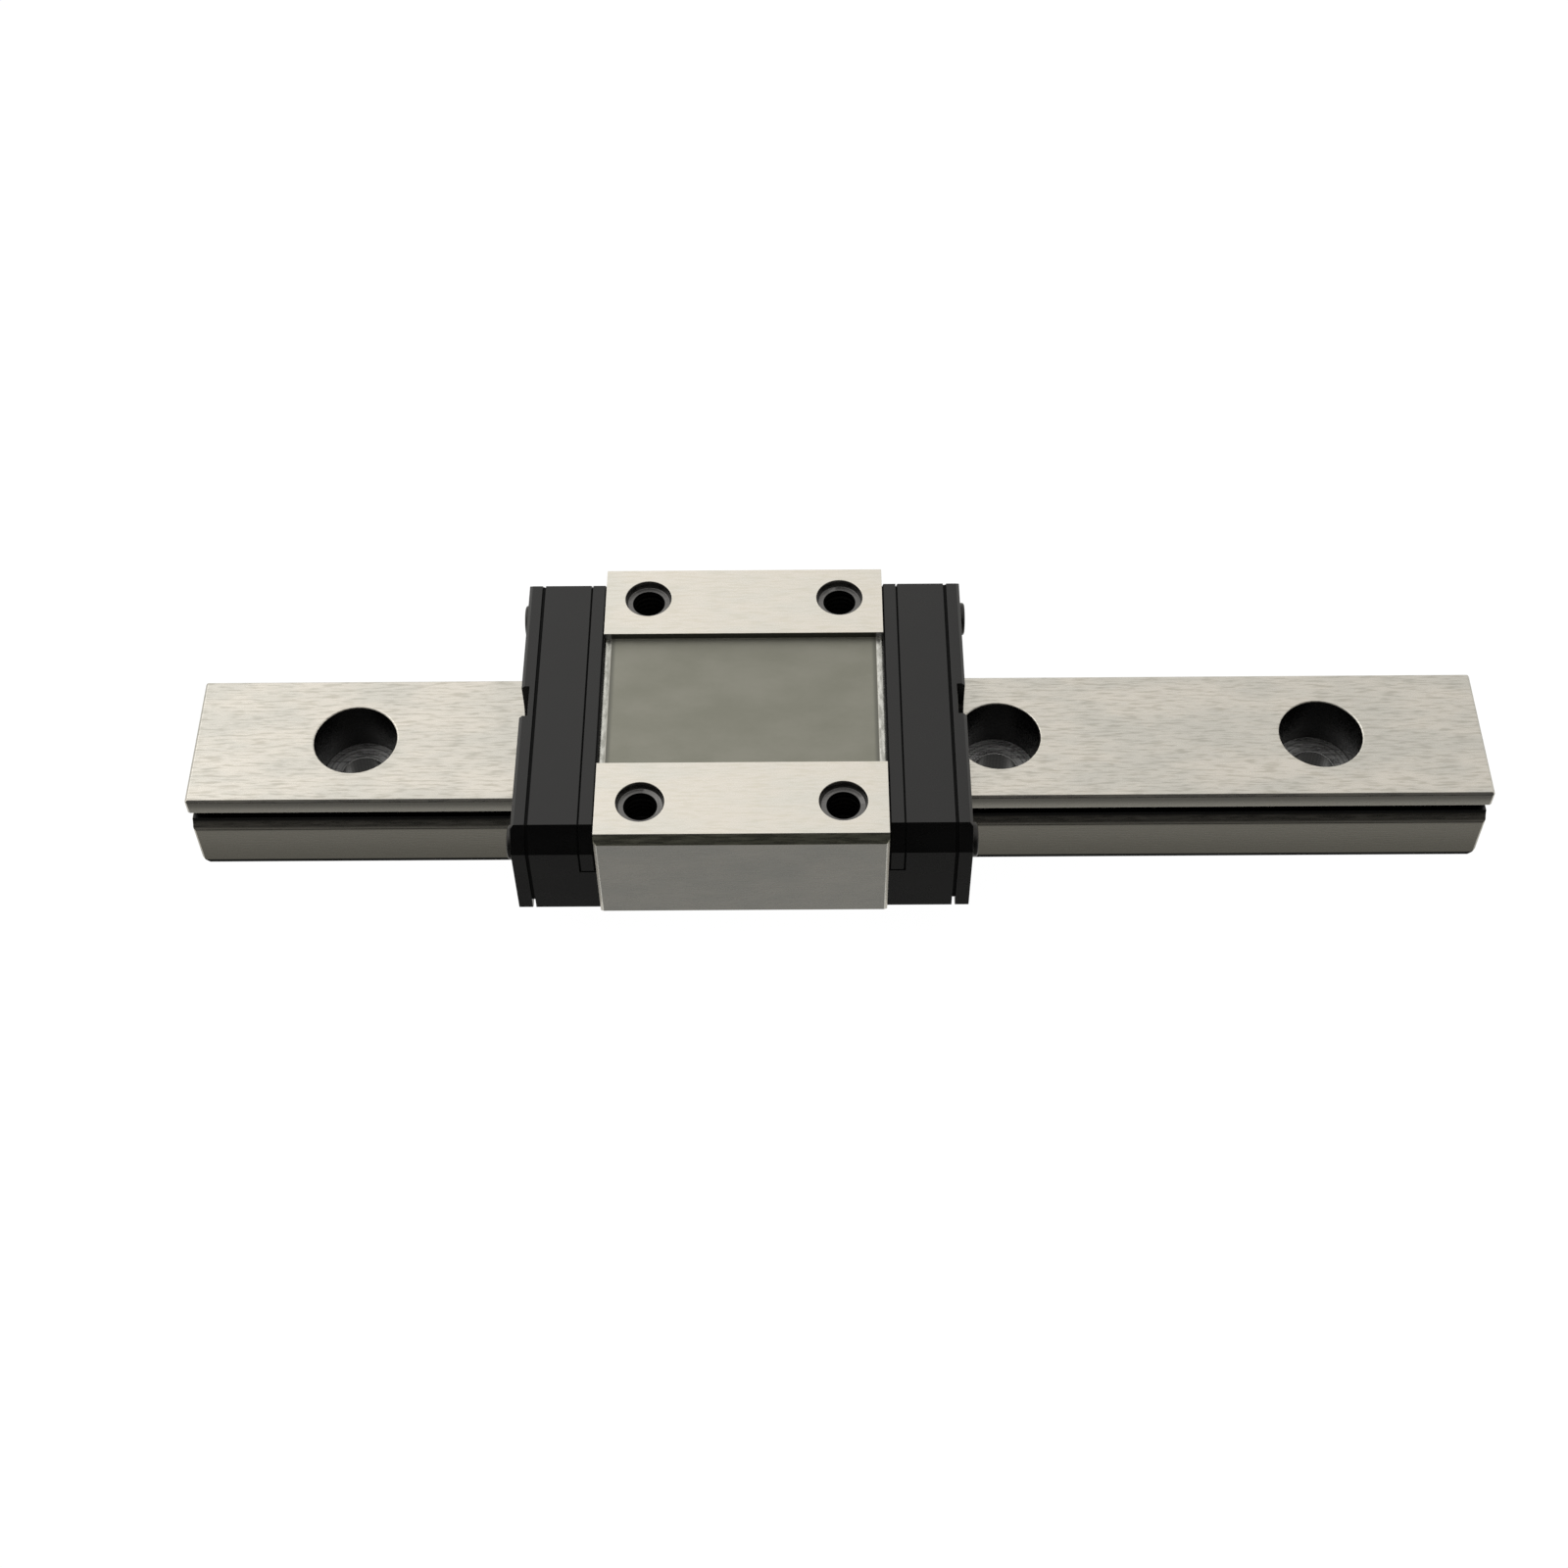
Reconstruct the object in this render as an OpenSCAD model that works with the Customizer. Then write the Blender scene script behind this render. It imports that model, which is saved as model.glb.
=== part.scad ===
// Miniature profiled-rail guide: one ground steel rail and one short ball carriage.
// Millimetres. X runs along the rail, Y across it, Z up from the surface it is bolted to.
// The origin is the middle of the rail's underside.
// Left is -X, right is +X, front is -Y and rear is +Y.

/* [Rail] */
// Length of the rail, a whole number of hole pitches
rail_l = 100; // [100:25:300]
// Width of the rail
rail_w = 12; // [11.9:0.05:12.1]
// Height of the rail
rail_h = 8; // [7.9:0.05:8.1]
// Distance from one mounting hole to the next
hole_pitch = 25; // [20:1:25]
// Diameter of the mounting hole's lower, narrow part
hole_d = 3.5; // [3.2:0.1:3.6]
// Diameter of the counterbore that hides the screw head
cbore_d = 6.4; // [5.8:0.1:6.5]
// Depth of the counterbore
cbore_depth = 4.5; // [3.5:0.1:5]

/* [Carriage block] */
// Length of the steel block
block_l = 21.7; // [21:0.1:26]
// Width of the steel block
block_w = 27; // [26.8:0.1:28]
// Height of the block's top face above the rail's underside
block_top = 13; // [12.9:0.1:14]
// Height of the block's underside
block_bottom = 3.4; // [3:0.1:3.6]
// Width of the shallow recess between the two ground lands
recess_w = 12.7; // [10:0.1:13]
// Depth of that recess
recess_depth = 0.63; // [0.3:0.01:1]
// Spacing of the threaded holes along the rail
thread_x = 15; // [14:0.1:15]
// Spacing of the threaded holes across the rail
thread_y = 20; // [19.8:0.1:20.2]
// Diameter of the threaded holes inside the thread
thread_core_d = 2.5; // [2.4:0.05:2.6]
// Depth of the threaded holes
thread_depth = 3.5; // [3:0.1:3.6]

/* [Balls] */
// Diameter of a ball
ball_d = 2.381; // [2.3:0.001:2.381]
// Height of the ball tracks above the rail's underside
ball_z = 5.5; // [5.4:0.05:5.6]
// Balls in each straight row
row_balls = 10; // [8:1:10]

/* [Plastic ends] */
// Length of the thin return guide next to the block
guide_l = 1.25; // [1.2:0.05:1.5]
// Length of the end cap outside the return guide
cap_l = 3.6; // [3.6:0.05:4.5]
// Length of the end seal: its rubber sheet and its hard plate
seal_l = 1.3; // [1.3:0.05:1.6]
// Width of the plastic ends
end_w = 26.4; // [26:0.1:26.6]
// Height of their top face
end_top = 12.6; // [12.4:0.1:12.8]
// Height of their underside
end_bottom = 3.8; // [3.6:0.1:4]

/* [Assembly] */
// Where the middle of the carriage rests along the rail
rest_x = -7.25; // [-30:0.25:30]

/* [Hidden] */
$fn = 48;
LEFT = -1;
RIGHT = 1;
FRONT = -1;
REAR = 1;
through = 0.5;            // how far a cutting shape passes a face
edge = 0.2;               // small edge chamfer on ground steel
rail_foot = 0.7;          // chamfer under each end of the rail
cbore_edge = 0.1;         // chamfer round a counterbore's rim

// ball circuit: a loaded row against the rail, a return row in the block, a half turn at each end
track_r = 1.25;           // radius of the ground tracks
track_y = 6.594;          // from the rail's middle to a loaded row
return_y = 10.1;          // from the rail's middle to a return row
turn_r = (return_y - track_y) / 2;
turn_y = (return_y + track_y) / 2;
channel_r = 1.3;          // radius of the moulded ball channels
ball_pitch = ball_d + 0.01;
tube_r = 1.6;             // outside radius of a return tube

// ball retaining wire, lying in a slot at the bottom of the rail's track
wire_r = 0.2;
wire_y = 5.07;
wire_end_y = 7.4;
wire_slot_y = 4.75;
wire_slot_h = 0.7;

// stations along the carriage, measured from its middle
block_end = block_l / 2;
guide_end = block_end + guide_l;
cap_end = guide_end + cap_l;
seal_end = cap_end + seal_l;
seam = 0.25;              // thickness of the seal's rubber sheet, a dark seam from outside
wire_end_x = cap_end - 0.24;

// cross-section of the carriage
channel_w = 13.9;         // gap between the block's legs
channel_top = 8.75;
side_edge_y = 0.55;       // chamfer along the block's top outer edges
side_edge_z = 0.68;
foot_edge = 0.55;         // chamfer along the block's lower outer edges
recess_end = 0.55;        // length of the sloping strip at each end of the recess
recess_drop = 0.2;        // and how far it falls
corner = 0.25;            // chamfer on the block's four upright corners
end_top_w = 23.5;         // width of the plastic ends' flat top
end_shoulder = 10.8;      // height at which their sloped shoulder meets the side
end_foot_edge = 0.3;
end_gap_w = 12.8;         // opening round the rail in the plastic ends
end_gap_top = 8.35;
tab_bottom = 8.6;         // below this the end cap wraps round the return guide
guide_core_w = 23.8;      // width of the return guide below its tabs
guide_core_bottom = 3;
groove = 0.15;            // width of the fine grooves along the return guide's edges
groove_depth = 0.18;
scoop_r = 1.1;            // ball scoop, standing in the rail's track

// end seal
lip_gap_w = 13.8;         // opening of the hard seal plate
lip_gap_top = 8.9;
lip_clear = 0.06;         // clearance between lip and rail
lip_l = 1.1;              // thickness of the rubber next to the rail
seam_inset = 0.1;         // how far the rubber sheet is set in all round
seam_bottom = 4.7;        // height of its lower end
notch_w = 2.9;            // lubrication notch
notch_bottom = 8.95;
notch_wall = 0.66;
lube_z = 10.6;
lube_r = 0.75;

// end screws
screw_y = 10.9;
screw_z = 9.3;
screw_r = 0.78;
screw_l = 7;
head_r = 1.3;
head_round = 0.2;
head_h = 1.35;
head_proud = 0.5;         // how far a head stands out of the seal
seat_x = seal_end + head_proud - head_h;
tap_r = 0.8;
tap_x = seat_x - screw_l - 0.3;

// threaded mounting holes
sink_d = 3.65;            // steep countersink, with a flat ledge round the thread
sink_floor_d = 3.3;
sink_depth = 0.6;

// extrudes a Y-Z outline along X
module along_x(from_x, length)
    translate([from_x, 0, 0]) rotate([90, 0, 90]) linear_extrude(length) children();

// a round bar or hole along X
module bar_x(radius, from_x, length, y, z)
    translate([from_x, y, z]) rotate([0, 90, 0]) cylinder(r = radius, h = length);

// places what is drawn for the right-hand end at one end of the carriage
module at_end(side)
    translate([rest_x, 0, 0]) mirror([side == LEFT ? 1 : 0, 0, 0]) children();

// a Y-Z outline given as the points of its +Y half, from bottom to top
module both_sides(half)
    polygon(concat(half, [for (i = [len(half) - 1:-1:0]) [-half[i][0], half[i][1]]]));

module rail_outline(grow = 0)
    both_sides([[rail_w / 2 - edge + grow, -grow], [rail_w / 2 + grow, edge],
                [rail_w / 2 + grow, rail_h - edge], [rail_w / 2 - edge + grow / 2, rail_h + grow]]);

// outer outline of the plastic ends, drawn in at the sides and at the top, down to a given bottom
module end_outline(side_inset = 0, top_inset = 0, bottom = end_bottom)
    both_sides([[end_w / 2 - end_foot_edge - side_inset, bottom],
                [end_w / 2 - side_inset, bottom + end_foot_edge],
                [end_w / 2 - side_inset, end_shoulder - side_inset / 2],
                [end_top_w / 2 - side_inset / 2, end_top - top_inset]]);

// opening for the rail, cut up from below
module rail_gap(width, top)
    translate([-width / 2, -through]) square([width, top + through]);

// the two half turns through which balls pass from loaded row to return row
module turn_channels()
    for (y = [-turn_y, turn_y])
        translate([block_end, y, ball_z]) rotate_extrude() translate([turn_r, 0]) circle(channel_r);

module end_screw_holes(radius, from_x, length)
    for (y = [-screw_y, screw_y]) bar_x(radius, from_x, length, y, screw_z);

module rail_hole()
{
    translate([0, 0, -through]) cylinder(d = hole_d, h = rail_h + 2 * through);
    translate([0, 0, rail_h - cbore_depth]) cylinder(d = cbore_d, h = cbore_depth + through);
    translate([0, 0, rail_h - cbore_edge])
        cylinder(r1 = cbore_d / 2, r2 = cbore_d / 2 + 2 * cbore_edge, h = 2 * cbore_edge);
}

module rail()
{
    half = rail_l / 2;
    color("silver")
    difference() {
        along_x(-half, rail_l) rail_outline();
        for (y = [-track_y, track_y]) bar_x(track_r, -half - through, rail_l + 2 * through, y, ball_z);
        for (side = [-1, 1])
            translate([-half - through, side * (wire_slot_y + 1) - 1, ball_z - wire_slot_h / 2])
                cube([rail_l + 2 * through, 2, wire_slot_h]);
        for (x = [-half + hole_pitch / 2:hole_pitch:half]) translate([x, 0, 0]) rail_hole();
        for (side = [-1, 1]) {
            translate([side * half, 0, rail_h]) rotate([0, 45, 0])
                cube([edge * sqrt(2), rail_w + 2, edge * sqrt(2)], center = true);
            translate([side * half, 0, 0]) rotate([0, 45, 0])
                cube([rail_foot * sqrt(2), rail_w + 2, rail_foot * sqrt(2)], center = true);
        }
        for (side = [-1, 1], y = [-rail_w / 2, rail_w / 2])
            translate([side * half, y, rail_h / 2]) rotate([0, 0, 45])
                cube([edge * sqrt(2), edge * sqrt(2), rail_h + 2], center = true);
    }
}

module threaded_hole()
{
    translate([0, 0, block_top - thread_depth]) cylinder(d = thread_core_d, h = thread_depth + through);
    translate([0, 0, block_top - sink_depth])
        cylinder(r1 = sink_floor_d / 2, r2 = sink_d - sink_floor_d / 2, h = 2 * sink_depth);
}

module block_outline()
    difference() {
        both_sides([[block_w / 2 - foot_edge, block_bottom], [block_w / 2, block_bottom + foot_edge],
                    [block_w / 2, block_top - side_edge_z], [block_w / 2 - side_edge_y, block_top]]);
        rail_gap(channel_w, channel_top);
    }

// the recess between the lands, whose floor slopes away at both ends
module recess()
{
    floor_z = block_top - recess_depth;
    floor_end = block_end - recess_end;
    past = block_end + through;
    past_z = floor_z - recess_drop * (recess_end + through) / recess_end;
    rotate([90, 0, 0]) linear_extrude(recess_w, center = true)
        polygon([[-past, past_z], [-floor_end, floor_z], [floor_end, floor_z], [past, past_z],
                 [past, block_top + through], [-past, block_top + through]]);
}

module carriage_block()
    translate([rest_x, 0, 0])
    color("gainsboro")
    difference() {
        along_x(-block_end, block_l) block_outline();
        for (y = [-track_y, track_y]) bar_x(track_r, -block_end - through, block_l + 2 * through, y, ball_z);
        for (y = [-return_y, return_y]) bar_x(tube_r, -block_end - through, block_l + 2 * through, y, ball_z);
        for (x = [-thread_x / 2, thread_x / 2], y = [-thread_y / 2, thread_y / 2])
            translate([x, y, 0]) threaded_hole();
        recess();
        for (side = [LEFT, RIGHT]) mirror([side == LEFT ? 1 : 0, 0, 0]) {
            end_screw_holes(tap_r, tap_x, block_end - tap_x + through);
            for (y = [-block_w / 2, block_w / 2])
                translate([block_end, y, block_top / 2]) rotate([0, 0, 45])
                    cube([corner * sqrt(2), corner * sqrt(2), 2 * block_top], center = true);
        }
    }

// space that the return guide fills: full width at its tabs, narrower below them
module guide_envelope()
    along_x(block_end, guide_l) {
        translate([-end_w / 2 - 1, tab_bottom]) square([end_w + 2, end_top]);
        translate([-guide_core_w / 2, guide_core_bottom]) square([guide_core_w, end_top]);
    }

// cuts a fine groove round the outside of the plastic ends
module outer_groove(from_x, width)
    along_x(from_x, width)
        difference() {
            translate([-end_w, 0]) square([2 * end_w, 2 * end_top]);
            end_outline(groove_depth, groove_depth, -through);
        }

// the return guide's grooves: along the block, along the end cap and under its tabs
module guide_grooves()
{
    outer_groove(block_end - through, groove + through);
    outer_groove(guide_end - groove, groove + through);
    for (side = [-1, 1])
        translate([block_end - through, side * (end_w / 2 - groove_depth + 1) - 1, tab_bottom - through])
            cube([guide_l + 2 * through, 2, groove + through]);
}

module return_guide(side)
    color("dimgray") at_end(side)
    difference() {
        intersection() {
            along_x(block_end, guide_l) end_outline();
            guide_envelope();
        }
        guide_grooves();
        along_x(block_end - through, guide_l + 2 * through) rail_gap(end_gap_w, end_gap_top);
        turn_channels();
        end_screw_holes(screw_r + 0.12, block_end - through, guide_l + 2 * through);
    }

// passages that carry grease from the lubrication hole to both half turns
module grease_ways()
{
    bar_x(lube_r, guide_end - through, cap_l + 2 * through, 0, lube_z);
    translate([guide_end - through, -turn_y - 0.4, lube_z - 0.4])
        cube([0.5 + through, 2 * turn_y + 0.8, 0.8]);
    for (y = [-turn_y, turn_y])
        translate([guide_end - through, y - 0.4, ball_z]) cube([0.5 + through, 0.8, lube_z - ball_z]);
}

module end_cap(side)
    color("#2b2b2b") at_end(side)
    difference() {
        union() {
            difference() {
                along_x(block_end, guide_l + cap_l) end_outline();
                along_x(block_end - through, guide_l + cap_l + 2 * through) rail_gap(end_gap_w, end_gap_top);
            }
            for (y = [-track_y, track_y]) bar_x(scoop_r, guide_end, cap_l, y, ball_z);
        }
        guide_envelope();
        turn_channels();
        grease_ways();
        end_screw_holes(screw_r + 0.12, block_end, guide_l + cap_l + through);
        for (s = [-1, 1])
            translate([wire_end_x - 0.25, s * (wire_end_y + wire_slot_y) / 2 - 1.6, ball_z - 0.25])
                cube([0.5 + through, 3.2, 0.5]);
    }

module lube_notch()
    translate([cap_end + notch_wall, 0, 0]) {
        translate([0, 0, notch_bottom + notch_w / 2]) rotate([0, 90, 0]) cylinder(d = notch_w, h = seal_l);
        translate([0, -notch_w / 2, notch_bottom + notch_w / 2]) cube([seal_l, notch_w, end_top]);
    }

module seal_plate(side)
    color("#303030") at_end(side)
    difference() {
        along_x(cap_end + seam, seal_l - seam) end_outline();
        along_x(cap_end - through, seal_l + 2 * through) rail_gap(lip_gap_w, lip_gap_top);
        lube_notch();
        bar_x(lube_r, cap_end - through, seal_l, 0, lube_z);
        end_screw_holes(screw_r + 0.12, cap_end - through, seal_l + 2 * through);
        end_screw_holes(head_r + 0.1, seat_x, head_h);
        translate([seal_end, 0, end_top]) rotate([0, 45, 0])
            cube([corner * sqrt(2), end_w, corner * sqrt(2)], center = true);
    }

// rubber sheet behind the hard plate, with a wiper that follows the rail and reaches into both tracks
module seal_lip(side)
    color("#151515") at_end(side)
    difference() {
        union() {
            along_x(cap_end, seam)
                difference() {
                    end_outline(seam_inset, seam_inset, seam_bottom);
                    rail_outline(lip_clear);
                }
            wiper();
        }
        bar_x(lube_r, cap_end - through, seam + 2 * through, 0, lube_z);
        end_screw_holes(screw_r + 0.12, cap_end - through, seam + 2 * through);
    }

module wiper()
    difference() {
        union() {
            along_x(cap_end, lip_l)
                difference() {
                    translate([-lip_gap_w / 2, end_bottom]) square([lip_gap_w, lip_gap_top - end_bottom]);
                    rail_outline(lip_clear);
                }
            for (y = [-track_y, track_y]) bar_x(track_r - lip_clear, cap_end, lip_l, y, ball_z);
        }
        for (s = [-1, 1])
            translate([cap_end - through, s * (lip_gap_w / 2 + 1) - 1, 0])
                cube([lip_l + 2 * through, 2, rail_h]);
    }

module screw_head()
    difference() {
        rotate_extrude() {
            square([head_r, head_h - head_round]);
            square([head_r - head_round, head_h]);
            intersection() {
                translate([head_r - head_round, head_h - head_round]) circle(head_round);
                square([head_r, head_h]);
            }
        }
        intersection() {
            for (turn = [0, 90])
                rotate([0, 0, turn]) translate([-0.8, -0.16, head_h - 0.6]) cube([1.6, 0.32, 1]);
            translate([0, 0, head_h - 0.75]) cylinder(r1 = 0.08, r2 = 0.9, h = 0.85);
        }
    }

module end_screws(side)
    color("#3a3a3a") at_end(side)
    for (y = [-screw_y, screw_y])
        translate([seat_x, y, screw_z]) rotate([0, 90, 0]) {
            screw_head();
            translate([0, 0, -screw_l]) cylinder(r1 = screw_r - 0.3, r2 = screw_r, h = 0.3);
            translate([0, 0, 0.3 - screw_l]) cylinder(r = screw_r, h = screw_l - 0.3);
        }

module return_tube(side)
    color("ivory") translate([rest_x, 0, 0])
    difference() {
        bar_x(tube_r - 0.02, -block_end, block_l, side * return_y, ball_z);
        bar_x(channel_r, -block_end - through, block_l + 2 * through, side * return_y, ball_z);
    }

// a straight wire with both ends bent outwards behind the seals
module retainer_wire(side)
    color("lightsteelblue") translate([rest_x, side * wire_y, ball_z]) {
        rotate([0, 90, 0]) cylinder(r = wire_r, h = 2 * wire_end_x, center = true);
        for (x = [-wire_end_x, wire_end_x]) translate([x, 0, 0]) {
            sphere(wire_r);
            rotate([-90 * side, 0, 0]) cylinder(r = wire_r, h = wire_end_y - wire_y);
        }
    }

module ball_row(y)
    color("whitesmoke")
    for (i = [0:row_balls - 1])
        translate([rest_x + (i - (row_balls - 1) / 2) * ball_pitch, y, ball_z]) sphere(d = ball_d);

module turn_balls(side)
    color("whitesmoke") at_end(side)
    for (y = [-turn_y, turn_y]) translate([block_end + turn_r, y, ball_z]) sphere(d = ball_d);

rail();
carriage_block();
return_guide(LEFT);  // left_return_guide
return_guide(RIGHT);  // right_return_guide
end_cap(LEFT);  // left_end_cap
end_cap(RIGHT);  // right_end_cap
seal_plate(LEFT);  // left_seal_plate
seal_plate(RIGHT);  // right_seal_plate
seal_lip(LEFT);  // left_seal_lip
seal_lip(RIGHT);  // right_seal_lip
end_screws(LEFT);  // left_end_screws
end_screws(RIGHT);  // right_end_screws
return_tube(FRONT);  // front_return_tube
return_tube(REAR);  // rear_return_tube
retainer_wire(FRONT);  // front_retainer_wire
retainer_wire(REAR);  // rear_retainer_wire
ball_row(FRONT * track_y);  // front_loaded_balls
ball_row(REAR * track_y);  // rear_loaded_balls
ball_row(FRONT * return_y);  // front_return_balls
ball_row(REAR * return_y);  // rear_return_balls
turn_balls(LEFT);  // left_turn_balls
turn_balls(RIGHT);  // right_turn_balls
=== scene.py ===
import math

import bmesh
import bpy
from mathutils import Matrix, Vector


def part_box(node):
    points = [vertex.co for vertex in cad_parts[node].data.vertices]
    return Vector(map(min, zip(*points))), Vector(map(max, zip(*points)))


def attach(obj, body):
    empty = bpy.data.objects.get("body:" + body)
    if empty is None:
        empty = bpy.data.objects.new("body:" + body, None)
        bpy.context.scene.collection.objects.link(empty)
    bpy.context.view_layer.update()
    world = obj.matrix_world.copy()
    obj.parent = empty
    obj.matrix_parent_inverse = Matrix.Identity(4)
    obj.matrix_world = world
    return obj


# A miniature linear guide: finishes, fine detail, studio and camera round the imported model.
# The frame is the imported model's: X along the rail, Z up. Blender itself works in metres, but the
# sizes named here, and the positions inside the materials, are in millimetres.

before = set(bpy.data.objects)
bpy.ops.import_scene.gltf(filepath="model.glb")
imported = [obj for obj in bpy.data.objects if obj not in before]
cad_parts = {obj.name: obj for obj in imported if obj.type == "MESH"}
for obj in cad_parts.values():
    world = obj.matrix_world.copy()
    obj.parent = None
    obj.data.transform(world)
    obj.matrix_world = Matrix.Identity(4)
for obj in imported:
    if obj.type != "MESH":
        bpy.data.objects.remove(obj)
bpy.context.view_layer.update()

MM = 0.001

block_low, block_high = [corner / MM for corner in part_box("carriage_block")]
guide_low, guide_high = [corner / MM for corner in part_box("right_return_guide")]
rail_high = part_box("rail")[1] / MM

# the carriage block; the recess's finish and its painted light and shade run on down the block's end faces,
# which the plastic hides
CARRIAGE_X = (block_low.x + block_high.x) / 2
BLOCK_TOP = block_high.z
BLOCK_SIDE = block_high.y
CHAMFER_FOOT = BLOCK_TOP - 0.7
RECESS_FLOOR = BLOCK_TOP - 0.63
RECESS_HALF_WIDTH = 6.35
RECESS_HALF_LENGTH = (block_high.x - block_low.x) / 2 - 0.55
RECESS_FINISH_AND_LIGHT_FOOT = 9.6

# its mounting holes: a steep countersink with a ledge, then the threaded core, whose painted shade ends
# 0.2 mm under its floor
HOLE_X = 7.5
HOLE_Y = 10
SINK_RADIUS = 1.825
SINK_LEDGE = BLOCK_TOP - 0.6
CORE_SHADE_FOOT = 9.3
THREAD_RADIUS = 1.25
THREAD_PITCH = 0.5
THREAD_TOP = BLOCK_TOP - 0.8
THREAD_TURNS = 5
RIDGE_HEIGHT = 0.06
RIDGE_ROOT = 0.02
RIDGE_HALF_WIDTH = 0.42 * THREAD_PITCH

# the return guides, which are mirrored about the carriage's middle
GUIDE_X = (guide_low.x + guide_high.x) / 2 - CARRIAGE_X
GUIDE_HALF_LENGTH = (guide_high.x - guide_low.x) / 2
GUIDE_GROOVE = 0.15
GUIDE_GROOVE_FOOT = 8.5

# the rail: its head stands over a track in each side; the painted shade of the side above and below the
# track reaches 0.2 mm into it
RAIL_END = rail_high.x
RAIL_SIDE = rail_high.y
RAIL_TOP = rail_high.z
HEAD_SHADE_FOOT = 6.4
TRACK_Z = 5.5
TRACK_HALF_HEIGHT = 1.12
LOWER_SIDE_TOP = TRACK_Z - 0.9
RAIL_PITCH = 25
DRILL_RADIUS = 1.75
COUNTERBORE_RADIUS = 3.2
COUNTERBORE_FLOOR = RAIL_TOP - 4.5


# ---------------------------------------------------------------- material helpers

def new_material(name):
    """A node material with its Principled shader, ready for links."""
    material = bpy.data.materials.new(name)
    material.use_nodes = True
    tree = material.node_tree
    return material, tree, tree.nodes["Principled BSDF"]


def add(tree, kind, **settings):
    """Adds a node; a setting is a property, or a socket when its name starts with in_."""
    node = tree.nodes.new(kind)
    for name, value in settings.items():
        if name.startswith("in_"):
            node.inputs[name[3:].replace("_", " ")].default_value = value
        else:
            setattr(node, name, value)
    return node


def put(tree, socket, value):
    """Feeds a socket with another socket or with a constant."""
    if isinstance(value, bpy.types.NodeSocket):
        tree.links.new(value, socket)
    else:
        socket.default_value = value


def maths(tree, operation, a, b=0.0):
    node = add(tree, "ShaderNodeMath", operation=operation)
    put(tree, node.inputs[0], a)
    put(tree, node.inputs[1], b)
    return node.outputs[0]


def gap(tree, a, b):
    """How far a is from b."""
    return maths(tree, "ABSOLUTE", maths(tree, "SUBTRACT", a, b))


def ramp(tree, value, low, high, out_low=0.0, out_high=1.0, smooth=True):
    """Maps value from low..high to out_low..out_high, clamped."""
    node = add(tree, "ShaderNodeMapRange", interpolation_type="SMOOTHSTEP" if smooth else "LINEAR")
    put(tree, node.inputs["Value"], value)
    for name, number in (("From Min", low), ("From Max", high), ("To Min", out_low), ("To Max", out_high)):
        put(tree, node.inputs[name], number)
    return node.outputs["Result"]


def below(tree, value, limit, blur=0.04):
    """1 where value is under limit, 0 above it."""
    return ramp(tree, value, limit + blur, limit - blur)


def mix(tree, factor, a, b):
    """Mixes two colours, from a at 0 to b at 1."""
    node = add(tree, "ShaderNodeMix", data_type="RGBA")
    put(tree, node.inputs["Factor"], factor)
    put(tree, node.inputs["A"], a)
    put(tree, node.inputs["B"], b)
    return node.outputs["Result"]


def weighted_sum(tree, a, weight_a, b, weight_b):
    return maths(tree, "ADD", maths(tree, "MULTIPLY", a, weight_a), maths(tree, "MULTIPLY", b, weight_b))


def tone(level, red=1.0, blue=1.0):
    """A grey of that level whose red and blue are scaled."""
    return (level * red, level, level * blue, 1.0)


def product(tree, *values):
    """Multiplies sockets together."""
    result = values[0]
    for value in values[1:]:
        result = maths(tree, "MULTIPLY", result, value)
    return result


def radius_from(tree, x, y):
    return maths(tree, "SQRT", maths(tree, "ADD", maths(tree, "POWER", x, 2.0), maths(tree, "POWER", y, 2.0)))


def place(tree):
    """Position in the model's frame, in millimetres, and its three parts."""
    coords = add(tree, "ShaderNodeTexCoord")
    scaled = add(tree, "ShaderNodeVectorMath", operation="SCALE")
    tree.links.new(coords.outputs["Object"], scaled.inputs[0])
    scaled.inputs["Scale"].default_value = 1 / MM
    parts = add(tree, "ShaderNodeSeparateXYZ")
    tree.links.new(scaled.outputs[0], parts.inputs[0])
    return scaled.outputs[0], parts.outputs


def noise(tree, position, size, detail=3.0, offset=0.0):
    """Noise whose grains measure size millimetres along X, Y and Z."""
    mapping = add(tree, "ShaderNodeMapping")
    tree.links.new(position, mapping.inputs["Vector"])
    mapping.inputs["Scale"].default_value = [1 / s for s in size]
    mapping.inputs["Location"].default_value = (offset, offset, offset)
    texture = add(tree, "ShaderNodeTexNoise", in_Scale=1.0, in_Detail=detail, in_Roughness=0.6)
    tree.links.new(mapping.outputs[0], texture.inputs["Vector"])
    return texture.outputs["Fac"]


def bump(tree, bsdf, height, depth_mm, strength=1.0):
    node = add(tree, "ShaderNodeBump", in_Strength=strength, in_Distance=depth_mm * MM)
    tree.links.new(height, node.inputs["Height"])
    tree.links.new(node.outputs[0], bsdf.inputs["Normal"])


# ---------------------------------------------------------------- materials

def ground_steel(tree, position, level, contrast):
    """Colour, roughness, streaks and relief of steel ground along X, over faint warm and cool patches."""
    streaks = noise(tree, position, (1.7, 0.2, 0.2), detail=2.5)
    fine = noise(tree, position, (1.1, 0.05, 0.05), detail=2.0, offset=7.3)
    lines = weighted_sum(tree, streaks, 0.82, fine, 0.18)
    relief = weighted_sum(tree, streaks, 0.92, fine, 0.08)
    patch = ramp(tree, noise(tree, position, (7.0, 3.0, 3.0), offset=3.1), 0.35, 0.65)
    cool = level * (1 - 0.45 * contrast)
    light = mix(tree, patch, tone(level, 1.055, 0.9), tone(cool, 1.03, 0.91))
    dark = mix(tree, patch, tone(level * (1 - contrast), 1.055, 0.87), tone(cool * (1 - contrast), 1.03, 0.89))
    colour = mix(tree, ramp(tree, lines, 0.36, 0.54), dark, light)
    rough = ramp(tree, lines, 0.35, 0.65, 0.36, 0.24)
    return colour, rough, lines, relief


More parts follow.
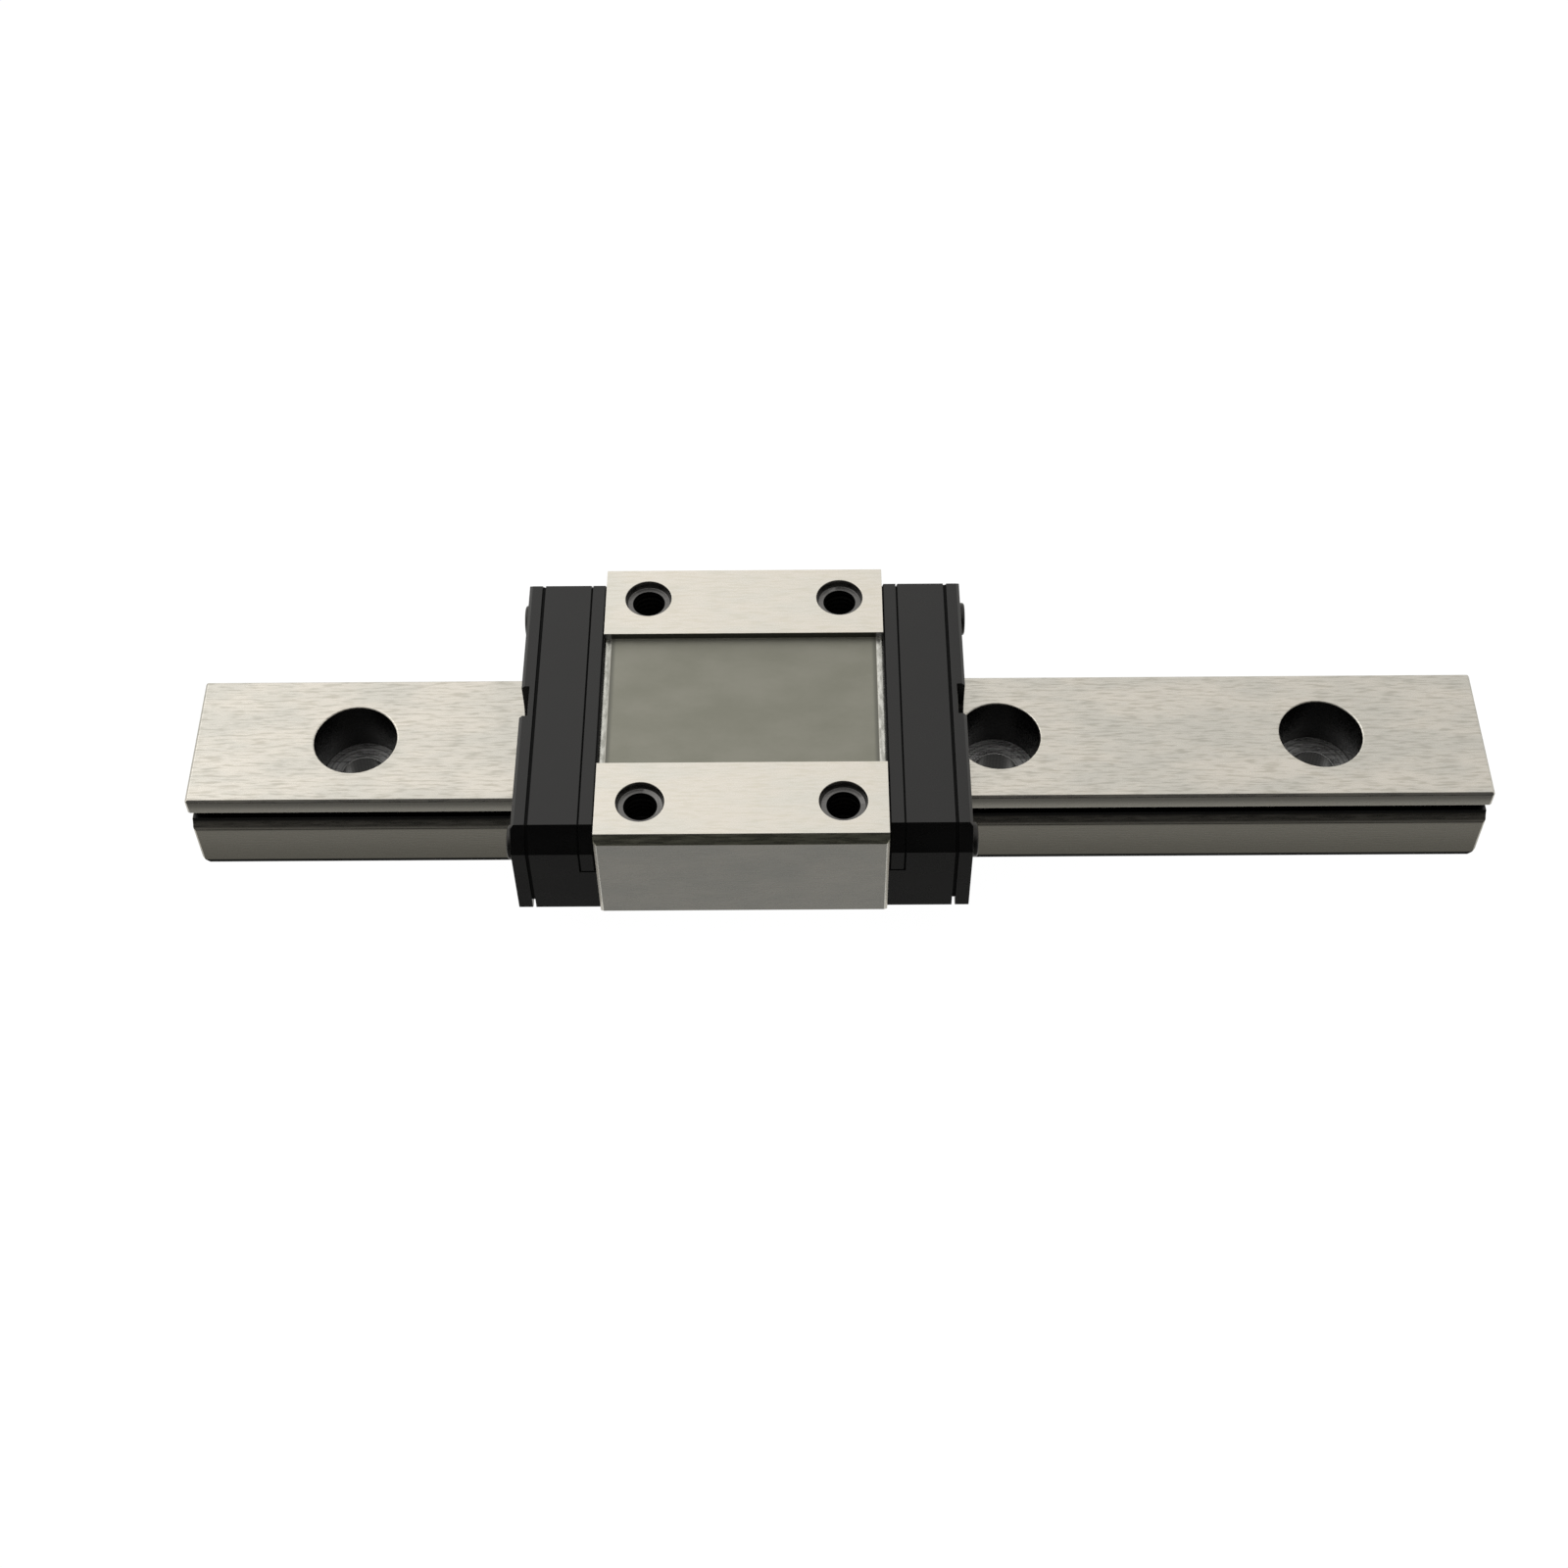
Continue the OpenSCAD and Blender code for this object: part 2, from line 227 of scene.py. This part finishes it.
def finish_steel(tree, bsdf, colour, rough, height, depth_mm):
    """Feeds the shader of a ground steel, whose highlights stretch across the streaks."""
    put(tree, bsdf.inputs["Base Color"], colour)
    put(tree, bsdf.inputs["Roughness"], rough)
    bsdf.inputs["Metallic"].default_value = 1.0
    bsdf.inputs["Anisotropic"].default_value = 0.45
    tangent = add(tree, "ShaderNodeTangent", direction_type="RADIAL", axis="X")
    tree.links.new(tangent.outputs[0], bsdf.inputs["Tangent"])
    bump(tree, bsdf, height, depth_mm)


def rail_steel():
    """Rail: ground top, shaded sides, nearly black tracks, and holes with black walls and turned floors.

    The sides' shading, the tracks' black and the holes' black walls are painted shade and painted reflection,
    whatever the light.
    """
    material, tree, bsdf = new_material("ground rail steel")
    position, parts = place(tree)
    colour, rough, lines, relief = ground_steel(tree, position, 0.64, 0.21)
    across = maths(tree, "ABSOLUTE", parts["Y"])
    height = parts["Z"]

    # below the tracks: painted shade, darker towards the foot, with a painted shadow under each track's lip
    # and a painted shadow line along the foot
    under_track = below(tree, height, LOWER_SIDE_TOP, 0.1)
    upper = mix(tree, lines, tone(0.52, 1.04, 0.88), tone(0.66, 1.04, 0.88))
    lower = mix(tree, lines, tone(0.38, 1.04, 0.86), tone(0.48, 1.04, 0.86))
    shaded = mix(tree, ramp(tree, height, 0.4, LOWER_SIDE_TOP - 0.4), lower, upper)
    colour = mix(tree, under_track, colour, shaded)
    side = ramp(tree, across, RAIL_SIDE - 0.1, RAIL_SIDE - 0.05)
    lip_shadow = product(tree, side, under_track, ramp(tree, height, LOWER_SIDE_TOP - 0.43, LOWER_SIDE_TOP - 0.07))
    colour = mix(tree, lip_shadow, colour, tone(0.15, 1.05, 0.88))
    foot = product(tree, side, below(tree, height, 0.55))
    colour = mix(tree, foot, colour, tone(0.05))

    # the head's sides, above the tracks: painted shade and highlight, bright at the head's foot and darker
    # towards the top
    head = product(tree, ramp(tree, across, RAIL_SIDE - 0.03, RAIL_SIDE - 0.01),
                   ramp(tree, height, HEAD_SHADE_FOOT, HEAD_SHADE_FOOT + 0.1))
    head_shade = mix(tree, ramp(tree, height, HEAD_SHADE_FOOT + 0.3, RAIL_TOP - 0.3),
                    tone(0.88, 1.03, 0.9), tone(0.38, 1.03, 0.9))
    colour = mix(tree, head, colour, head_shade)

    # the tracks: painted shadow, nearly black, but for the lower part of each arc, which has a dim painted
    # reflection;
    # the rail's end faces are left out
    past_end = maths(tree, "SUBTRACT", maths(tree, "ABSOLUTE", parts["X"]), RAIL_END)
    track = product(tree, below(tree, across, RAIL_SIDE - 0.05),
                    below(tree, gap(tree, height, TRACK_Z), TRACK_HALF_HEIGHT),
                    below(tree, past_end, -0.03, 0.02))
    lower_arc = ramp(tree, height, TRACK_Z - 0.5, TRACK_Z - 0.74)
    arc_reflection = mix(tree, ramp(tree, height, TRACK_Z - 0.75, TRACK_Z - 1.0),
                   tone(0.36, 1.05, 0.88), tone(0.16, 1.05, 0.88))
    colour = mix(tree, track, colour, mix(tree, lower_arc, tone(0.04), arc_reflection))

    # the drilled holes: walls painted nearly black as shade, with rings turned on the counterbores' floors
    along = maths(tree, "FRACT", maths(tree, "DIVIDE", maths(tree, "ADD", parts["X"], RAIL_END), RAIL_PITCH))
    from_hole = maths(tree, "MULTIPLY", maths(tree, "SUBTRACT", along, 0.5), RAIL_PITCH)
    radius = radius_from(tree, from_hole, parts["Y"])
    drilled = product(tree, below(tree, radius, COUNTERBORE_RADIUS + 0.06),
                      below(tree, height, RAIL_TOP - 0.1), ramp(tree, height, 0.02, 0.06))
    floor = product(tree, below(tree, radius, COUNTERBORE_RADIUS - 0.05),
                    below(tree, height, COUNTERBORE_FLOOR + 0.05),
                    ramp(tree, radius, DRILL_RADIUS - 0.03, DRILL_RADIUS + 0.05))
    rings = add(tree, "ShaderNodeTexNoise", noise_dimensions="1D", in_Scale=3.0, in_Detail=2.0)
    tree.links.new(radius, rings.inputs["W"])
    turned = mix(tree, ramp(tree, rings.outputs["Fac"], 0.35, 0.65), tone(0.5), tone(1.0))
    colour = mix(tree, drilled, colour, tone(0.018))
    colour = mix(tree, floor, colour, turned)
    finish_steel(tree, bsdf, colour, rough, relief, 0.003)
    return material


def block_steel():
    """Carriage block: bright ground faces, a matte recess with slopes at its ends, and dark tapped holes.

    Painted light and shade: paler sides, darker chamfers, dark steps and rims, bright slopes (right brighter),
    black holes.
    """
    material, tree, bsdf = new_material("ground block steel")
    position, parts = place(tree)
    colour, rough, _, relief = ground_steel(tree, position, 0.69, 0.045)
    from_middle = gap(tree, parts["X"], CARRIAGE_X)
    across = maths(tree, "ABSOLUTE", parts["Y"])
    height = parts["Z"]
    cloud = noise(tree, position, (5.0, 3.0, 3.0), detail=4.0, offset=11.0)
    grain = noise(tree, position, (0.09, 0.09, 0.09), offset=5.0)
    burr = noise(tree, position, (0.3, 0.8, 0.4), detail=4.0, offset=2.0)

    # the outer sides, painted paler as light, and the chamfers above them, painted darker as reflection
    chamfer = product(tree, ramp(tree, across, BLOCK_SIDE - 0.52, BLOCK_SIDE - 0.48),
                      ramp(tree, height, CHAMFER_FOOT, CHAMFER_FOOT + 0.06),
                      below(tree, height, BLOCK_TOP - 0.04, 0.01))
    colour = mix(tree, chamfer, colour, tone(0.5, 1.0, 0.78))
    flank = product(tree, ramp(tree, across, BLOCK_SIDE - 0.1, BLOCK_SIDE - 0.04),
                    below(tree, height, CHAMFER_FOOT, 0.02))
    # painted light: the sides' tone, paler than the top
    smooth = mix(tree, ramp(tree, cloud, 0.3, 0.7), tone(0.86, 1.0, 0.94), tone(0.94, 1.02, 0.93))
    colour = mix(tree, flank, colour, smooth)

    # the recess: matte floor with a painted shadow beside the slopes at its ends, slopes painted bright as
    # reflection, and steps painted dark as shade
    inside = product(tree, below(tree, across, RECESS_HALF_WIDTH, 0.02),
                     ramp(tree, height, RECESS_FINISH_AND_LIGHT_FOOT, RECESS_FINISH_AND_LIGHT_FOOT + 0.1),
                     below(tree, height, RECESS_FLOOR + 0.08))
    floor = product(tree, inside, below(tree, from_middle, RECESS_HALF_LENGTH))
    matte = mix(tree, ramp(tree, cloud, 0.25, 0.75), tone(0.25, 1.0, 0.83), tone(0.285, 1.01, 0.85))
    # painted shadow on the floor beside the slopes
    rim_shadow = ramp(tree, from_middle, RECESS_HALF_LENGTH - 0.45, RECESS_HALF_LENGTH - 0.1)
    colour = mix(tree, floor, colour, mix(tree, rim_shadow, matte, tone(0.17, 1.0, 0.86)))
    ends = product(tree, inside, ramp(tree, from_middle, RECESS_HALF_LENGTH, RECESS_HALF_LENGTH + 0.04))
    torn = ramp(tree, burr, 0.35, 0.65)
    # painted reflection on the slopes, over a torn texture; the right slope is painted brighter than the left
    left_end = mix(tree, torn, tone(0.27, 1.0, 0.9), tone(0.44, 1.0, 0.92))
    right_end = mix(tree, torn, tone(0.42, 1.0, 0.92), tone(0.72, 1.0, 0.94))
    slope_light = mix(tree, ramp(tree, parts["X"], CARRIAGE_X - 1, CARRIAGE_X + 1), left_end, right_end)
    colour = mix(tree, ends, colour, slope_light)
    # painted shade on the recess's steps, dark along the recess and lighter past its ends
    step = product(tree, below(tree, gap(tree, across, RECESS_HALF_WIDTH), 0.04, 0.02),
                   below(tree, height, BLOCK_TOP - 0.05, 0.01),
                   ramp(tree, height, RECESS_FLOOR + 0.03, RECESS_FLOOR + 0.09))
    step_shade = mix(tree, below(tree, from_middle, RECESS_HALF_LENGTH, 0.05), tone(0.5), tone(0.12, 1.0, 0.9))
    colour = mix(tree, step, colour, step_shade)

    # the mounting holes: countersink and ledge painted dark, core painted nearly black, all as shade
    radius = radius_from(tree, maths(tree, "SUBTRACT", from_middle, HOLE_X),
                         maths(tree, "SUBTRACT", across, HOLE_Y))
    sink = product(tree, below(tree, radius, SINK_RADIUS + 0.02, 0.02),
                   below(tree, height, BLOCK_TOP - 0.05),
                   ramp(tree, height, SINK_LEDGE - 0.2, SINK_LEDGE - 0.1))
    ledge = below(tree, height, SINK_LEDGE + 0.03, 0.01)
    core = product(tree, below(tree, radius, THREAD_RADIUS + 0.02, 0.02), ledge,
                   ramp(tree, height, CORE_SHADE_FOOT, CORE_SHADE_FOOT + 0.1))
    colour = mix(tree, sink, colour, mix(tree, ledge, tone(0.12, 1.02, 0.96), tone(0.15, 1.02, 0.98)))
    colour = mix(tree, core, colour, tone(0.03))

    rough = ramp(tree, floor, 0.0, 1.0, rough, 0.5, smooth=False)
    relief = mix(tree, ends, mix(tree, floor, relief, grain), burr)
    finish_steel(tree, bsdf, colour, rough, relief, 0.0025)
    return material


def black_plastic():
    """Satin moulded plastic with a very fine spark texture, left rough in the return guides' grooves."""
    material, tree, bsdf = new_material("black moulded plastic")
    position, parts = place(tree)
    grain = noise(tree, position, (0.12, 0.12, 0.12))
    cloud = noise(tree, position, (6.0, 4.0, 4.0), offset=9.0)
    from_guide = gap(tree, gap(tree, parts["X"], CARRIAGE_X), GUIDE_X)
    groove_start = GUIDE_HALF_LENGTH - GUIDE_GROOVE
    groove = product(tree, ramp(tree, from_guide, groove_start - 0.01, groove_start + 0.01),
                     below(tree, from_guide, GUIDE_HALF_LENGTH - 0.01, 0.01),
                     ramp(tree, parts["Z"], GUIDE_GROOVE_FOOT, GUIDE_GROOVE_FOOT + 0.1))
    satin = ramp(tree, cloud, 0.3, 0.7, 0.22, 0.3)
    put(tree, bsdf.inputs["Base Color"], mix(tree, cloud, tone(0.0015), tone(0.003)))
    put(tree, bsdf.inputs["Roughness"], maths(tree, "MAXIMUM", satin, groove))
    bsdf.inputs["Specular IOR Level"].default_value = 0.45
    bump(tree, bsdf, grain, 0.002, 0.5)
    return material


def grained(name, size, colours, rough, detail=3.0, metallic=0.0, specular=0.5, depth_mm=0.0):
    """A material whose colour, roughness and relief follow one noise of that grain size."""
    material, tree, bsdf = new_material(name)
    grain = noise(tree, place(tree)[0], size, detail=detail)
    put(tree, bsdf.inputs["Base Color"], mix(tree, grain, *colours))
    put(tree, bsdf.inputs["Roughness"], ramp(tree, grain, 0.3, 0.7, *rough))
    bsdf.inputs["Metallic"].default_value = metallic
    bsdf.inputs["Specular IOR Level"].default_value = specular
    if depth_mm:
        bump(tree, bsdf, grain, depth_mm)
    return material


FINISHES = {
    "rail": rail_steel(),
    "block": block_steel(),
    "plastic": black_plastic(),
    "rubber": grained("black seal rubber", (0.08, 0.08, 0.08), (tone(0.0015), tone(0.0035)), (0.6, 0.75),
                      detail=4.0, specular=0.1, depth_mm=0.004),
    "screw": grained("black oxide screw steel", (0.1, 0.1, 0.1), (tone(0.02), tone(0.05, 1.05, 0.95)),
                     (0.28, 0.42), detail=4.0, metallic=0.8, depth_mm=0.002),
    "liner": grained("natural plastic", (1.5, 0.8, 0.8), ((0.66, 0.62, 0.52, 1), (0.76, 0.73, 0.64, 1)),
                     (0.35, 0.5), depth_mm=0.004),
    "wire": grained("drawn spring wire", (2.0, 0.03, 0.03), (tone(0.5), tone(0.66)), (0.2, 0.34),
                    detail=2.0, metallic=1.0, depth_mm=0.001),
    "ball": grained("polished ball steel", (0.9, 0.9, 0.9), (tone(0.62), tone(0.72, 1.02, 0.98)),
                    (0.06, 0.12), detail=2.0, metallic=1.0),
    # the threads are painted nearly black, as shade inside the tapped holes
    "thread": grained("tapped thread steel", (0.1, 0.1, 0.03), (tone(0.04, 1.03, 0.95), tone(0.1, 1.03, 0.95)),
                      (0.3, 0.45), metallic=1.0, depth_mm=0.002),
}


# ---------------------------------------------------------------- CAD nodes

def smooth_by_angle(limit_degrees):
    """A modifier that shades smooth, but keeps edges sharper than the limit."""
    tree = bpy.data.node_groups.new("smooth by angle", "GeometryNodeTree")
    tree.interface.new_socket("Geometry", in_out="INPUT", socket_type="NodeSocketGeometry")
    tree.interface.new_socket("Geometry", in_out="OUTPUT", socket_type="NodeSocketGeometry")
    start = tree.nodes.new("NodeGroupInput")
    end = tree.nodes.new("NodeGroupOutput")
    faces = add(tree, "GeometryNodeSetShadeSmooth", domain="FACE")
    edges = add(tree, "GeometryNodeSetShadeSmooth", domain="EDGE")
    edges.inputs["Shade Smooth"].default_value = False
    angle = add(tree, "GeometryNodeInputMeshEdgeAngle")
    sharp = add(tree, "FunctionNodeCompare", data_type="FLOAT", operation="GREATER_THAN")
    sharp.inputs["B"].default_value = math.radians(limit_degrees)
    tree.links.new(angle.outputs["Unsigned Angle"], sharp.inputs["A"])
    tree.links.new(start.outputs[0], faces.inputs["Geometry"])
    tree.links.new(faces.outputs[0], edges.inputs["Geometry"])
    tree.links.new(sharp.outputs["Result"], edges.inputs["Selection"])
    tree.links.new(edges.outputs[0], end.inputs[0])
    return tree


SMOOTHING = smooth_by_angle(38)
EDGE_WIDTHS = {"rail": 0.05, "block": 0.05, "plastic": 0.04, "rubber": 0.04, "screw": 0.04}
FINISH_WORDS = (("rail", "rail"), ("block", "block"), ("balls", "ball"), ("wire", "wire"),
                ("tube", "liner"), ("screws", "screw"), ("lip", "rubber"))


def finish_of(node):
    """The finish of a CAD node, by what its name says it is."""
    for word, finish in FINISH_WORDS:
        if word in node:
            return finish
    return "plastic"


def soften(piece, width_mm):
    """Rounds a CAD node's sharp edges by that width, with clean shading."""
    weld = piece.modifiers.new("weld", "WELD")
    weld.merge_threshold = 0.0005 * MM
    planar = piece.modifiers.new("planar", "DECIMATE")
    planar.decimate_type = "DISSOLVE"
    planar.angle_limit = math.radians(0.4)
    rounding = piece.modifiers.new("rounding", "BEVEL")
    rounding.width = width_mm * MM
    rounding.segments = 2
    rounding.limit_method = "ANGLE"
    rounding.angle_limit = math.radians(28)
    rounding.use_clamp_overlap = True
    rounding.miter_outer = "MITER_ARC"
    shading = piece.modifiers.new("shading", "NODES")
    shading.node_group = SMOOTHING
    weighted = piece.modifiers.new("weighted", "WEIGHTED_NORMAL")
    weighted.keep_sharp = True


for node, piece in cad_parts.items():
    finish = finish_of(node)
    piece.data.materials.clear()
    piece.data.materials.append(FINISHES[finish])
    if finish in EDGE_WIDTHS:
        soften(piece, EDGE_WIDTHS[finish])


# ---------------------------------------------------------------- threads

def helix_ridge(shape, x, y, steps=36):
    """Adds a three-sided ridge that winds down the wall of one tapped hole and fades at both ends."""
    rings = []
    for i in range(THREAD_TURNS * steps + 1):
        turn = i / steps
        crest = THREAD_RADIUS - RIDGE_HEIGHT * min(1.0, turn, 3 * (THREAD_TURNS - turn))
        root = THREAD_RADIUS + RIDGE_ROOT
        angle = 2 * math.pi * turn
        middle = THREAD_TOP - THREAD_PITCH * turn
        profile = ((root, middle + RIDGE_HALF_WIDTH), (crest, middle), (root, middle - RIDGE_HALF_WIDTH))
        ring = []
        for radius, z in profile:
            corner = Vector((x + radius * math.cos(angle), y + radius * math.sin(angle), z))
            ring.append(shape.verts.new(corner * MM))
        rings.append(ring)
    for first, second in zip(rings, rings[1:]):
        for k in range(3):
            shape.faces.new((first[k], first[k - 1], second[k - 1], second[k]))
    shape.faces.new(rings[0])
    shape.faces.new(reversed(rings[-1]))


def mounting_threads():
    """The cut threads in the block's four mounting holes."""
    mesh = bpy.data.meshes.new("mounting_threads")
    shape = bmesh.new()
    for side_x in (-1, 1):
        for side_y in (-1, 1):
            helix_ridge(shape, CARRIAGE_X + side_x * HOLE_X, side_y * HOLE_Y)
    bmesh.ops.recalc_face_normals(shape, faces=shape.faces)
    shape.to_mesh(mesh)
    shape.free()
    threads = bpy.data.objects.new("mounting_threads", mesh)
    bpy.context.scene.collection.objects.link(threads)
    mesh.materials.append(FINISHES["thread"])
    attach(threads, "carriage")


mounting_threads()


# ---------------------------------------------------------------- studio, in metres

STUDIO_RADIUS = 1.5


def pale_surface(name, albedo, glow):
    """Near-white, and lit from within so that shadows stay faint."""
    material, _, bsdf = new_material(name)
    bsdf.inputs["Base Color"].default_value = tone(albedo)
    bsdf.inputs["Roughness"].default_value = 1.0
    bsdf.inputs["Specular IOR Level"].default_value = 0.0
    bsdf.inputs["Emission Color"].default_value = tone(1.0)
    bsdf.inputs["Emission Strength"].default_value = glow
    return material


def stage_piece(name, shape, material):
    """Makes a part of the studio, which metal doesn't reflect."""
    mesh = bpy.data.meshes.new(name)
    shape.to_mesh(mesh)
    shape.free()
    mesh.materials.append(material)
    piece = bpy.data.objects.new(name, mesh)
    piece.visible_glossy = False
    bpy.context.scene.collection.objects.link(piece)
    return piece


def studio_floor():
    """A pale round floor, just under the object."""
    shape = bmesh.new()
    bmesh.ops.create_circle(shape, cap_ends=True, segments=96, radius=STUDIO_RADIUS)
    floor = stage_piece("studio_floor", shape, pale_surface("pale floor", 0.05, 0.99))
    floor.location.z = -0.01 * MM


def studio_wall():
    """A pale wall all round, which lights nothing and casts no shadow."""
    shape = bmesh.new()
    bmesh.ops.create_cone(shape, cap_ends=False, segments=96, radius1=STUDIO_RADIUS, radius2=STUDIO_RADIUS,
                          depth=2.0)
    wall = stage_piece("studio_wall", shape, pale_surface("pale wall", 0.0, 1.0))
    wall.visible_diffuse = False
    wall.visible_shadow = False


def studio_world():
    """Bright above and behind, more so on the left; dark towards the front, and dim below."""
    world = bpy.data.worlds.new("studio")
    bpy.context.scene.world = world
    world.use_nodes = True
    tree = world.node_tree
    coords = add(tree, "ShaderNodeTexCoord")
    parts = add(tree, "ShaderNodeSeparateXYZ")
    tree.links.new(coords.outputs["Generated"], parts.inputs[0])
    right, back, up = parts.outputs
    sideways = ramp(tree, right, -0.3, 0.3, 1.2, 0.88)
    above = maths(tree, "MULTIPLY", ramp(tree, back, -0.87, 0.2, 0.022, 1.0), sideways)
    under = ramp(tree, back, -0.45, 0.1, 0.18, 0.75)
    level = ramp(tree, up, -0.12, 0.02, under, above)
    tint = mix(tree, ramp(tree, up, -0.1, 0.1), (1.0, 0.985, 0.95, 1), (1.0, 0.985, 0.96, 1))
    tree.links.new(tint, tree.nodes["Background"].inputs["Color"])
    tree.links.new(level, tree.nodes["Background"].inputs["Strength"])


def soft_box(name, position, size, power):
    """A large rectangular lamp aimed at the object."""
    lamp = bpy.data.lights.new(name, "AREA")
    lamp.shape = "RECTANGLE"
    lamp.size, lamp.size_y = size
    lamp.energy = power
    box = bpy.data.objects.new(name, lamp)
    box.location = position
    box.rotation_euler = (-Vector(position)).to_track_quat("-Z", "Y").to_euler()
    bpy.context.scene.collection.objects.link(box)


def studio_camera():
    """Looks down over the front edge, turned and rolled a little, as the object is pictured."""
    target = Vector((-4.18, -3.46, 6.5)) * MM
    distance = 187.3 * MM
    turn, elevation, roll = 0.6, 52.53, -0.84
    turned = (Matrix.Rotation(math.radians(turn), 4, "Z")
              @ Matrix.Rotation(math.radians(90 - elevation), 4, "X")
              @ Matrix.Rotation(math.radians(roll), 4, "Z"))
    lens = bpy.data.cameras.new("studio_camera")
    lens.sensor_width = 36.0
    lens.lens = 55.62
    lens.clip_start = 0.005
    camera = bpy.data.objects.new("studio_camera", lens)
    camera.matrix_world = Matrix.Translation(target) @ turned @ Matrix.Translation((0, 0, distance))
    bpy.context.scene.collection.objects.link(camera)
    bpy.context.scene.camera = camera


studio_floor()
studio_wall()
studio_world()
soft_box("key_light", position=(-0.5, 0.3, 0.6), size=(0.5, 0.4), power=0.6)
studio_camera()
bpy.context.scene.view_settings.view_transform = "Standard"
